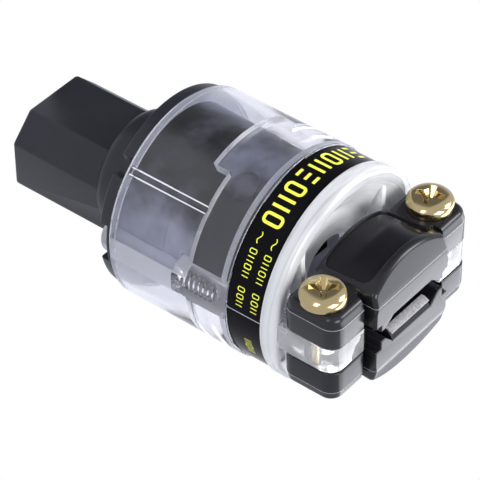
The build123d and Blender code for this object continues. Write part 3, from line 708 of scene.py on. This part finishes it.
def makeScrew(name, look):
    domeHeight = look["headHeight"] - look["sideHeight"]
    dome = [(look["headRadius"] * math.cos(math.radians(90 * step / 16)) ** look["domePower"],
             look["sideHeight"] + domeHeight * math.sin(math.radians(90 * step / 16)))
            for step in range(16)]
    head = lathe(name, [(0, 0), (look["headRadius"] - look["headEdge"], 0),
                        (look["headRadius"], look["headEdge"]), *dome, (0, look["headHeight"])], 72)
    crosses = []
    for narrow, short in ((1, 1), look["pit"]):
        arm, reach = look["armHalf"] * narrow, look["armReach"] * short
        quarter = [(arm, reach), (arm, arm * look["armFlare"]), (arm * look["armFlare"], arm), (reach, arm)]
        points = []
        for turn in range(4):
            spin = Matrix.Rotation(math.radians(-90 * turn + look["spin"]), 2)
            points += [spin @ Vector(point) for point in quarter]
        crosses.append(points)
    cutter = skin("recess", [(crosses[1], look["headHeight"] - look["recessDepth"]),
                             (crosses[0], look["headHeight"] + 0.2)])
    combine(head, [cutter], "DIFFERENCE")
    around, rows = look["around"], int(look["length"] / look["pitch"] * look["rowsPerTurn"])
    rings = []
    for row in range(rows + 1):
        height = 0.2 - look["length"] * row / rows
        crest = look["threadRadius"] - look["tipDrop"] * (1 - min(1, (rows - row) / look["tipRows"]))
        ring = []
        for turn in range(around):
            phase = (height / look["pitch"] + turn / around) % 1
            depth = look["threadDepth"] * min(1, abs(phase * 2 - 1) * look["flank"])
            ring.append(polar(crest - depth, 360 * turn / around))
        rings.append((ring, height))
    return joinShells(name, [head, skin("thread", rings)])


for side, way in sides.items():
    piece = makeScrew(side + "ClampScrew", dict(clampScrew, spin=clampAt["spin"][side]))
    spot = Matrix.Translation((way * clampAt["x"], clampAt["seat"], clampAt["z"]))
    piece.data.transform(spot @ Matrix.Rotation(math.radians(90), 4, "X"))
    dress(piece, "gold_plate", side + "_screw", [side + "_clamp_screw"], 40)
    piece = makeScrew(side + "AssemblyScrew", assemblyScrew)
    spot = Matrix.Translation((way * assemblyAt["x"], 0, assemblyAt["seat"]))
    piece.data.transform(spot @ Matrix.Rotation(math.pi, 4, "X"))
    dress(piece, "screw_steel", "connector", [side + "_assembly_screw"], 40)
print("screws made")

# Hexagon nuts in the pockets of the nut-side jaw, with turned-off corners
clampNut = {"acrossFlats": 7.0, "low": 6.7, "high": 9.9, "hole": 2.05, "chamfer": 0.5, "cornerLeft": 0.15,
            "mouth": 0.4}


def makeNut(side, x, look):
    nut = prism(side + "ClampNut", hexagon((0, 0), look["acrossFlats"]), look["low"], look["high"])
    rim = look["acrossFlats"] / 2 + look["cornerLeft"]
    wide, cut, hole, mouth = rim + look["chamfer"] * 2, look["chamfer"], look["hole"], look["mouth"]
    turned = lathe("turned", [(0, look["low"]), (rim, look["low"]), (wide, look["low"] + cut),
                              (wide, look["high"] - cut), (rim, look["high"]), (0, look["high"])], 96)
    combine(nut, [turned], "INTERSECT")
    flare = hole + mouth + 1
    bore = lathe("hole", [(0, look["low"] - 1), (flare, look["low"] - 1), (hole, look["low"] + mouth),
                          (hole, look["high"] - mouth), (flare, look["high"] + 1), (0, look["high"] + 1)], 48)
    combine(nut, [bore], "DIFFERENCE")
    nut.data.transform(Matrix.Translation((x, 0, clampAt["z"])) @ Matrix.Rotation(math.radians(-90), 4, "X"))
    dress(nut, "gold_plate", "nut_jaw", [side + "_clamp_nut"])


for side, way in sides.items():
    makeNut(side, way * clampAt["x"], clampNut)
print("nuts made")

# Clamp jaws: a rounded lobe over each ear and an arched middle whose rear face leans back
jaw = {"lobeInner": 9.9, "lobeOuter": 20.7, "front": 73.0, "lobeTo": 85.2, "frontCorner": 2.5,
       "rearCorner": 3.0, "seat": 2.95, "seatRound": 0.3, "crease": 7.7, "lobeHeight": 10.0, "draft": 15,
       "lobeRound": 1.2, "archHalf": 10.9, "archTo": 87.2, "archHeight": 13.8, "frontDrop": 1.0,
       "shoulderDrop": 3.3, "shoulderRound": 1.6, "archRound": 0.9, "grooveWidth": 1.2, "grooveDepth": 2.6,
       "lipOuter": 9.4, "lipInner": 8.0, "channelHalf": 5.8, "channelDepth": 3.2, "panelDepth": 0.4,
       "panelHalf": 9.6, "panelFrom": 73.6, "panelTo": 84.1, "panelCorner": 1.8, "hole": 2.25,
       "nutPocket": 7.2, "nutFloor": 6.7, "ribHalf": 5.8, "ribCrest": 1.3, "ribTop": 0.7, "ribSlant": 1.4,
       "ribPitch": 4.4, "ribs": 3, "cutFrom": 1.0, "cutTo": 12.0, "grooveCorner": 0.5, "frontBevel": 0.4,
       "seatBevel": 0.3, "panelSlack": 0.07, "panelShare": 0.7, "headLip": 1.4, "nutLip": 1.0}


def lobeRing(look, end, inset):
    inner, outer = look["lobeInner"], look["lobeOuter"] - inset
    low, high = look["front"] + inset, look["lobeTo"] - inset
    return [(end * x, z) for x, z in roundCorners([
        (inner, low, 0), (outer, low, look["frontCorner"] - inset), (outer, high, look["rearCorner"] - inset),
        (inner, high, 0)], 9)]


def makeLobe(look, side, end):
    slope = math.tan(math.radians(look["draft"]))
    rings = []
    for step in range(5):
        turn = math.radians(90 * step / 4)
        rings.append((lobeRing(look, end, look["seatRound"] * (1 - math.sin(turn))),
                      side * (look["seat"] + look["seatRound"] * (1 - math.cos(turn)))))
    rings.append((lobeRing(look, end, 0), side * look["crease"]))
    start = look["lobeHeight"] - look["lobeRound"]
    for step in range(11):
        turn = math.radians(90 * step / 10)
        inset = (start - look["crease"]) * slope + look["lobeRound"] * (1 - math.cos(turn))
        rings.append((lobeRing(look, end, inset), side * (start + look["lobeRound"] * math.sin(turn))))
    return skin("lobe", rings, "Y")


def archSection(look, side, apex, lip):
    half, seat, drop, rounding = look["archHalf"], look["seat"], look["shoulderDrop"], look["shoulderRound"]
    radius = (half ** 2 + drop ** 2) / (2 * drop)
    centre = apex - radius
    rise = math.sqrt((radius - rounding) ** 2 - (half - rounding) ** 2)
    lean = math.atan2(rise, half - rounding)
    upper = [(half - rounding + rounding * math.cos(lean * step / 8),
              centre + rise + rounding * math.sin(lean * step / 8)) for step in range(9)]
    spread = math.pi / 2 - lean
    upper += [(radius * math.cos(lean + spread * step / 12),
               centre + radius * math.sin(lean + spread * step / 12)) for step in range(1, 13)]
    lower = [(0, look["channelDepth"]), (look["channelHalf"], look["channelDepth"]), (look["lipInner"], lip),
             (look["lipOuter"], lip), (look["lipOuter"], seat), (half, seat)]
    right = lower + upper
    left = [(-x, y) for x, y in reversed(right[1:-1])]
    return [(x, side * y) for x, y in right + left]


def makeArch(look, side, lip):
    apex = look["archHeight"]
    arch = skin("arch", [(archSection(look, side, apex - look["frontDrop"], lip), look["front"]),
                         (archSection(look, side, apex, lip), look["archTo"])])
    far = 2 * apex
    lean = (far - look["crease"]) * math.tan(math.radians(look["draft"]))
    wedge = [(side * look["crease"], look["archTo"]), (side * look["crease"], look["archTo"] + 1),
             (side * far, look["archTo"] + 1), (side * far, look["archTo"] - lean)]
    combine(arch, [prism("wedge", wedge, -20, 20, "X")], "DIFFERENCE")
    weights = arch.data.attributes.new("bevel_weight_edge", "FLOAT", "EDGE")
    for edge in arch.data.edges:
        ends = [arch.data.vertices[number].co for number in edge.vertices]
        atRear = all(end.z > look["archTo"] - lean - 0.1 for end in ends)
        atFront = all(end.z < look["front"] + 0.01 for end in ends)
        outside = min(abs(end.y) for end in ends) > look["seat"] + 0.5
        faces = [end for end in ends if abs(end.y) <= look["seat"] + 0.5]
        if (atRear or atFront) and outside:
            weights.data[edge.index].value = 1 if atRear else look["frontBevel"]
        elif atRear and faces:
            weights.data[edge.index].value = look["seatBevel"]
    return soften(arch, look["archRound"], 8, method="WEIGHT")


def makeJaw(look, name, node, body, side, lip):
    piece = makeArch(look, side, lip)
    piece.name = name
    adds = [makeLobe(look, side, end) for end in (-1, 1)]
    if side > 0:
        for number in range(look["ribs"]):
            z = look["archTo"] - number * look["ribPitch"]
            root, crest = look["channelDepth"], look["ribCrest"]
            foot = z - 2 * look["ribSlant"] - look["ribTop"]
            ridge = [(root + 0.5, z), (root, z), (crest, z - look["ribSlant"]),
                     (crest, z - look["ribSlant"] - look["ribTop"]), (root, foot), (root + 0.5, foot)]
            adds.append(prism("rib", ridge, -look["ribHalf"], look["ribHalf"], "X"))
    combine(piece, adds, "UNION")
    cuts = []
    through = sorted((side * look["cutFrom"], side * look["cutTo"]))
    for end in (-1, 1):
        x = end * (look["archHalf"] + look["grooveWidth"] / 2)
        half = look["grooveWidth"] / 2
        low = look["lobeTo"] - look["grooveDepth"]
        corner, high = look["grooveCorner"], look["lobeTo"] + 1
        groove = roundCorners([(x - half, low, corner), (x + half, low, corner), (x + half, high, 0),
                               (x - half, high, 0)], 5)
        cuts.append(prism("groove", groove, *through, "Y"))
        spot = (end * clampAt["x"], clampAt["z"])
        cuts.append(prism("hole", circle(spot, look["hole"]), *through, "Y"))
        if side > 0:
            pocket = hexagon(spot, look["nutPocket"])
            cuts.append(prism("nutPocket", pocket, look["nutFloor"], look["cutTo"], "Y"))
    if side < 0:
        half = look["panelHalf"]
        outline = roundBox(-half, look["panelFrom"], half, look["panelTo"], look["panelCorner"], 9)
        panel = prism("panel", outline, -15, -look["crease"], "Y")
        low = look["archHeight"] - look["frontDrop"] - look["panelDepth"] - look["panelSlack"]
        high = look["archHeight"] - look["panelDepth"] + look["panelSlack"]
        sunken = skin("sunken", [(archSection(look, side, low, lip), look["front"] - 1),
                                 (archSection(look, side, high, lip), look["archTo"] + 1)])
        combine(panel, [sunken], "DIFFERENCE")
        cuts.append(panel)
    combine(piece, cuts, "DIFFERENCE")
    dress(piece, "clamp_black", body, [node], 13)
    piece.data.materials.append(materials["panelBlack"])
    radius = (look["archHalf"] ** 2 + look["shoulderDrop"] ** 2) / (2 * look["shoulderDrop"])
    length = look["archTo"] - look["front"]
    for face in piece.data.polygons:
        x, y, z = face.center / mm
        apex = look["archHeight"] - look["frontDrop"] * (look["archTo"] - z) / length
        within = abs(x) < look["panelHalf"] and look["panelFrom"] < z < look["panelTo"]
        sunk = radius - math.hypot(x, -y - apex + radius) > look["panelDepth"] * look["panelShare"]
        if side < 0 and -y > look["crease"] and within and sunk:
            face.material_index = 1


makeJaw(jaw, "headSideJaw", "head_side_jaw", "head_jaw", -1, jaw["headLip"])
makeJaw(jaw, "nutSideJaw", "nut_side_jaw", "nut_jaw", 1, jaw["nutLip"])

# Rough faces of the grip ribs, just proud of the plain ones
ribFaces = {"halfWidth": 5.7, "start": 0.25, "proud": 0.03, "back": (0.2, -0.05)}


def makeRibFaces(look, ribs):
    bars = []
    crest, slant = ribs["ribCrest"], ribs["ribSlant"]
    for number in range(ribs["ribs"]):
        rear = ribs["archTo"] - number * ribs["ribPitch"]
        low = crest + (ribs["channelDepth"] - crest) * look["start"]
        line = [(low, rear - slant * look["start"] + look["proud"]),
                (crest - look["proud"], rear - slant + look["proud"]),
                (crest - look["proud"], rear - slant - ribs["ribTop"])]
        back = [(depth + look["back"][0], height + look["back"][1]) for depth, height in reversed(line)]
        bars.append(prism("gripRibFace", line + back, -look["halfWidth"], look["halfWidth"], "X"))
    piece = joinShells("gripRibFaces", bars)
    dress(piece, "roughRib", "nut_jaw")


makeRibFaces(ribFaces, jaw)
print("jaws made")

# Yellow print on the band: plain frames, bars and wavy dashes, drawn as strokes round the band
bandMarks = {"radius": 21.45, "proud": 0.015, "bigStroke": 0.62, "bigFrom": 304.0, "bigStep": -9.6,
             "bigLow": 62.2, "bigHigh": 66.6, "bigWidth": 2.5,
             "bigRow": "frame bars frame rungs bars frame bars rungs", "smallStroke": 0.18,
             "smallFrom": 350.5, "smallStep": -4.1, "smallWidth": 1.0,
             "smallRows": ((62.9, 64.5), (66.2, 67.8)),
             "smallRow": "bars frame frame - bars frame bars frame", "frameCorner": 0.28, "waveAngle": 314.5,
             "waveWidth": 2.3, "waveHeight": 0.3, "lowRow": "bars frame bars", "lowFrom": 22,
             "lowSpan": (64.6, 66.4), "seamAngle": -4, "seamWidth": 0.13, "seamSpan": (61.1, 68.8)}


def strokeMesh(line, width, closed, look, verts, faces):
    start, count = len(verts), len(line)
    for place, point in enumerate(line):
        before = line[place - 1] if place or closed else point
        after = line[(place + 1) % count] if place < count - 1 or closed else point
        along = (after - before).normalized()
        across = Vector((-along.y, along.x)) * width / 2
        for side in (-1, 1):
            for height in (-0.1, look["proud"]):
                arc, z = point + across * side
                radius = look["radius"] + height
                angle = arc / look["radius"]
                verts.append((radius * math.cos(angle), radius * math.sin(angle), z))
    for place in range(count if closed else count - 1):
        here, there = start + 4 * place, start + 4 * ((place + 1) % count)
        for a, b in ((0, 1), (1, 3), (3, 2), (2, 0)):
            faces.append((here + a, there + a, there + b, here + b))
    if not closed:
        for end in (start, start + 4 * (count - 1)):
            faces.append((end, end + 1, end + 3, end + 2))


def markStrokes(kind, angle, low, high, width, stroke, look):
    middle = math.radians(angle) * look["radius"]
    left, right = middle - width / 2 + stroke / 2, middle + width / 2 - stroke / 2
    bottom, top = low + stroke / 2, high - stroke / 2
    if kind == "frame":
        return [(roundBox(left, bottom, right, top, width * look["frameCorner"], 5), True)]
    if kind == "bars":
        return [([Vector((x, bottom + (top - bottom) * step / 4)) for step in range(5)], False)
                for x in (left, right)]
    if kind == "rungs":
        return [([Vector((left + (right - left) * step / 4, z)) for step in range(5)], False)
                for z in (bottom, (bottom + top) / 2, top)]
    return []


def makeBandPrint(look):
    verts, faces = [], []
    rows = [(look["bigRow"], look["bigFrom"], look["bigStep"], look["bigLow"], look["bigHigh"],
             look["bigWidth"], look["bigStroke"])]
    for low, high in look["smallRows"]:
        rows.append((look["smallRow"], look["smallFrom"], look["smallStep"], low, high, look["smallWidth"],
                     look["smallStroke"]))
    for kinds, first, step, low, high, width, stroke in rows:
        for number, kind in enumerate(kinds.split()):
            for line, closed in markStrokes(kind, first + step * number, low, high, width, stroke, look):
                strokeMesh(line, stroke, closed, look, verts, faces)
    for low, high in look["smallRows"]:
        middle = math.radians(look["waveAngle"]) * look["radius"]
        line = [Vector((middle + look["waveWidth"] * (step / 16 - 0.5),
                        (low + high) / 2 + look["waveHeight"] * math.sin(2 * math.pi * step / 16)))
                for step in range(17)]
        strokeMesh(line, look["smallStroke"], False, look, verts, faces)
    for number, kind in enumerate(look["lowRow"].split()):
        for line, closed in markStrokes(kind, look["lowFrom"] + look["smallStep"] * number, *look["lowSpan"],
                                        look["smallWidth"], look["smallStroke"], look):
            strokeMesh(line, look["smallStroke"], closed, look, verts, faces)
    piece = meshPiece("bandPrint", verts, faces)
    dress(piece, "bandPrint", "connector")
    # The band's seam: a pale line in the painted light grey, whose paleness paints a highlight on the band's
    # overlapping end
    verts, faces = [], []
    seam = math.radians(look["seamAngle"]) * look["radius"]
    strokeMesh([Vector((seam, z)) for z in look["seamSpan"]], look["seamWidth"], False,
               dict(look, proud=-0.02), verts, faces)
    piece = meshPiece("bandSeam", verts, faces)
    dress(piece, "paintedLightGrey", "connector")


makeBandPrint(bandMarks)
print("band print made")


# Floor and light. The camera, gloss and glass see the floor and the world as white that no lamp changes
def seenByRays(tree):
    path = addNode(tree, "ShaderNodeLightPath", (-700, 400))
    either = addMath(tree, "MAXIMUM", (-450, 400))
    seen = addMath(tree, "MAXIMUM", (-250, 400))
    wire(tree, (path, "Is Camera Ray", either, 0), (path, "Is Transmission Ray", either, 1),
         (either, 0, seen, 0), (path, "Is Glossy Ray", seen, 1))
    return seen


# White for the camera and through glass, a little cool in gloss
coolWhite = (0.9, 0.915, 1)


def coolGloss(tree, cool):
    path = addNode(tree, "ShaderNodeLightPath", (-700, 700))
    tone = addNode(tree, "ShaderNodeMix", (-450, 700), {"A": (1, 1, 1, 1), "B": (*cool, 1)}, data_type="RGBA")
    wire(tree, (path, "Is Glossy Ray", tone, "Factor"))
    return tone


# A dark card lies on the floor where the clamp's upper faces reflect it, and only gloss sees it
floorLook = {"size": 6.0, "below": 0.00005, "color": (0.86, 0.86, 0.88), "roughness": 0.9, "cardAngle": 235,
             "cardSpread": 48, "cardCore": 0.4, "cardShade": 0.32}


def makeFloor(look):
    half = look["size"] / 2
    mesh = bpy.data.meshes.new("studioFloor")
    corners = [(-half, -half), (half, -half), (half, half), (-half, half)]
    mesh.from_pydata([(*corner, -look["below"]) for corner in corners], [], [(0, 1, 2, 3)])
    floor = bpy.data.objects.new("studioFloor", mesh)
    bpy.context.scene.collection.objects.link(floor)
    material, tree, shader = newMaterial("studioFloor")
    setValues(shader, {"Base Color": (*look["color"], 1), "Roughness": look["roughness"],
                       "Specular IOR Level": 0})
    glow = addNode(tree, "ShaderNodeEmission", (0, 300))
    where = addNode(tree, "ShaderNodeTexCoord", (-1100, 0))
    ring = addVector(tree, "NORMALIZE", (-1000, 0))
    reach = addVector(tree, "DOT_PRODUCT", (-850, 0), {1: (*polar(1, look["cardAngle"]), 0)})
    card = addNode(tree, "ShaderNodeMapRange", (-700, 0), {
        "From Min": math.cos(math.radians(look["cardSpread"])),
        "From Max": math.cos(math.radians(look["cardSpread"] * look["cardCore"])),
        "To Max": 1 - look["cardShade"]}, interpolation_type="SMOOTHSTEP")
    gloss = addNode(tree, "ShaderNodeLightPath", (-700, -300))
    dark = addMath(tree, "MULTIPLY", (-450, 0))
    light = addMath(tree, "SUBTRACT", (-250, 0), {0: 1})
    mix = addNode(tree, "ShaderNodeMixShader", (350, 200))
    under = addNode(tree, "ShaderNodeNewGeometry", (200, 500))
    clear = addNode(tree, "ShaderNodeBsdfTransparent", (350, 400))
    oneWay = addNode(tree, "ShaderNodeMixShader", (600, 200))
    wire(tree,
         (where, "Object", ring, 0), (ring, "Vector", reach, 0), (reach, "Value", card, "Value"),
         (card, "Result", dark, 0), (gloss, "Is Glossy Ray", dark, 1), (dark, 0, light, 1),
         (light, 0, glow, "Strength"), (coolGloss(tree, coolWhite), "Result", glow, "Color"),
         (seenByRays(tree), 0, mix, "Fac"), (shader, "BSDF", mix, 1), (glow, "Emission", mix, 2),
         (under, "Backfacing", oneWay, "Fac"), (mix, "Shader", oneWay, 1), (clear, "BSDF", oneWay, 2),
         (oneWay, "Shader", tree.nodes["Material Output"], "Surface"))
    mesh.materials.append(material)


makeFloor(floorLook)

# Each lamp: the direction it stands in from the connector's middle, its distance, size, power and colour
middle = Vector((0, 0, 45)) * mm
lamps = {
    "rearBox": {"toward": (-0.58, 0.5, 0.63), "distance": 0.7, "size": 0.75,
                "power": 6, "color": (0.93, 0.95, 1)},
    "sideBox": {"toward": (-0.58, -0.463, 0.631), "distance": 0.7, "size": 0.3,
                "power": 2.8, "color": (1, 1, 1)},
    "frontBox": {"toward": (0.72, -0.6, -0.1), "distance": 0.8, "size": 0.5,
                "power": 4, "color": (0.9, 0.93, 1)},
    "topBox": {"toward": (0.2, -0.3, 1), "distance": 0.9, "size": 0.5,
                "power": 6, "color": (1, 1, 1)},
}


def makeLamp(name, setup):
    data = bpy.data.lights.new(name, "AREA")
    data.shape = "SQUARE"
    data.size = setup["size"]
    data.energy = setup["power"]
    data.color = setup["color"]
    lamp = bpy.data.objects.new(name, data)
    bpy.context.scene.collection.objects.link(lamp)
    toward = Vector(setup["toward"]).normalized()
    lamp.location = middle + toward * setup["distance"]
    lamp.rotation_euler = toward.to_track_quat("Z", "Y").to_euler()


for name, setup in lamps.items():
    makeLamp(name, setup)

worldLook = {"color": (0.9, 0.91, 0.95), "strength": 0.5}
world = bpy.data.worlds.new("studioWorld")
bpy.context.scene.world = world
world.use_nodes = True
sky = world.node_tree
plainSky = sky.nodes["Background"]
setValues(plainSky, {"Color": (*worldLook["color"], 1), "Strength": worldLook["strength"]})
whiteSky = addNode(sky, "ShaderNodeBackground", (0, 200))
mixSky = addNode(sky, "ShaderNodeMixShader", (250, 100))
wire(sky, (coolGloss(sky, coolWhite), "Result", whiteSky, "Color"), (seenByRays(sky), 0, mixSky, "Fac"),
     (plainSky, 0, mixSky, 1), (whiteSky, 0, mixSky, 2), (mixSky, 0, sky.nodes["World Output"], "Surface"))
print("floor and lamps placed")
